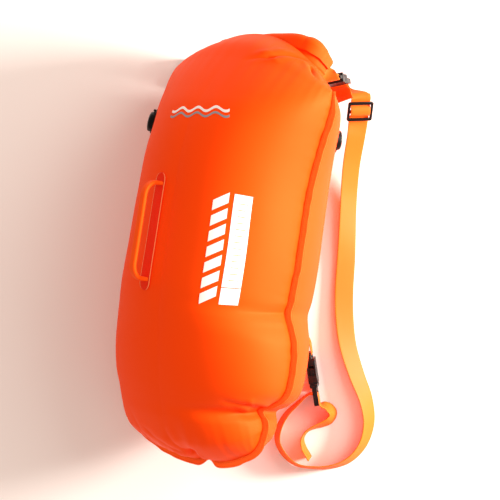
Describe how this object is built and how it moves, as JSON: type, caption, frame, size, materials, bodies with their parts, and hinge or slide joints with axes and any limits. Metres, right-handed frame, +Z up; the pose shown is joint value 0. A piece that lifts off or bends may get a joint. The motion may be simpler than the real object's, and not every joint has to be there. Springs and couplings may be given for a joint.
{
  "type": "open water swim buoy",
  "caption": "Inflatable open water swim buoy with a roll-top dry compartment between its air chambers, capped valves, a carry handle and a buckled webbing strap.",
  "frame": {"origin": "on the flat patch that the back chamber rests on, under the bag's long middle line and halfway along it", "axes": "+Y along the bag towards the roll-top, +Z up from the resting patch, +X towards the side where the strap lies"},
  "size_m": [0.3376, 0.53, 0.2233],
  "materials": {
    "coated_fabric": "film coated, satin to glossy",
    "weld_band": "welded film with a fine woven grid",
    "orange_webbing": "woven webbing with a film face",
    "black_acetal": "moulded, satin",
    "valve_black": "moulded, satin",
    "flap_rubber": "soft, matte",
    "stiffener_strip": "flat strip, matte"
  },
  "bodies": {
    "bag": {"front_air_chamber": "coated_fabric", "back_air_chamber": "coated_fabric", "dry_compartment_liner": "coated_fabric", "seam_flange": "weld_band", "roll_top_collar": "coated_fabric", "roll_top_roll": "coated_fabric", "roll_top_stiffener": "stiffener_strip", "handle_base": "weld_band", "handle_grip": "coated_fabric", "roll_tab_left": "orange_webbing", "roll_tab_right": "orange_webbing", "upper_buckle_socket": "black_acetal", "lower_buckle_socket": "black_acetal", "strap_webbing": "orange_webbing", "strap_anchor_patch": "weld_band", "strap_anchor_loop": "orange_webbing", "front_valve_base": "valve_black", "back_valve_base": "valve_black"},
    "free_socket": {"free_buckle_socket": "black_acetal"},
    "upper_plug": {"upper_buckle_plug": "black_acetal", "upper_buckle_latch_left": "black_acetal", "upper_buckle_latch_right": "black_acetal"},
    "lower_plug": {"lower_buckle_plug": "black_acetal", "lower_buckle_latch_left": "black_acetal", "lower_buckle_latch_right": "black_acetal"},
    "adjuster": {"strap_adjuster": "black_acetal"},
    "front_cap": {"front_valve_cap": "valve_black"},
    "front_insert": {"front_valve_insert": "valve_black", "front_valve_flap": "flap_rubber"},
    "back_cap": {"back_valve_cap": "valve_black"},
    "back_insert": {"back_valve_insert": "valve_black", "back_valve_flap": "flap_rubber"}
  },
  "joints": [
    {"name": "free_socket_swing", "type": "hinge", "parent": "bag", "child": "free_socket", "pos_m": [-0.05377, 0.21179, 0.00702], "axis": [0.1709, 0.9853, 0], "range_deg": [0, 20]},
    {"name": "upper_buckle_release", "type": "slide", "parent": "bag", "child": "upper_plug", "axis": [0.2199, 0.06, -0.9737], "range_m": [0, 0.03], "deforming": ["upper_buckle_latch_left", "upper_buckle_latch_right", "strap_webbing"]},
    {"name": "lower_buckle_release", "type": "slide", "parent": "bag", "child": "lower_plug", "axis": [0.2909, -0.9567, 0], "range_m": [0, 0.03], "deforming": ["lower_buckle_latch_left", "lower_buckle_latch_right", "strap_webbing"]},
    {"name": "adjuster_slide", "type": "slide", "parent": "bag", "child": "adjuster", "axis": [0.06, -0.8397, -0.5398], "range_m": [-0.008, 0.008], "deforming": ["strap_webbing"]},
    {"name": "front_cap_hinge", "type": "hinge", "parent": "bag", "child": "front_cap", "pos_m": [-0.11165, 0.15292, 0.10913], "axis": [0.0452, 0, -0.999], "range_deg": [0, 120]},
    {"name": "front_insert_turn", "type": "hinge", "parent": "bag", "child": "front_insert", "pos_m": [-0.1104, 0.13903, 0.10919], "axis": [-0.9943, 0.0969, -0.045], "range_deg": [0, 90]},
    {"name": "back_cap_hinge", "type": "hinge", "parent": "bag", "child": "back_cap", "pos_m": [0.10887, 0.1649, 0.0997], "axis": [0.2276, 0, 0.9737], "range_deg": [0, 120]},
    {"name": "back_insert_turn", "type": "hinge", "parent": "bag", "child": "back_insert", "pos_m": [0.10763, 0.15101, 0.09999], "axis": [0.9693, 0.0957, -0.2266], "range_deg": [0, 90]}
  ]
}
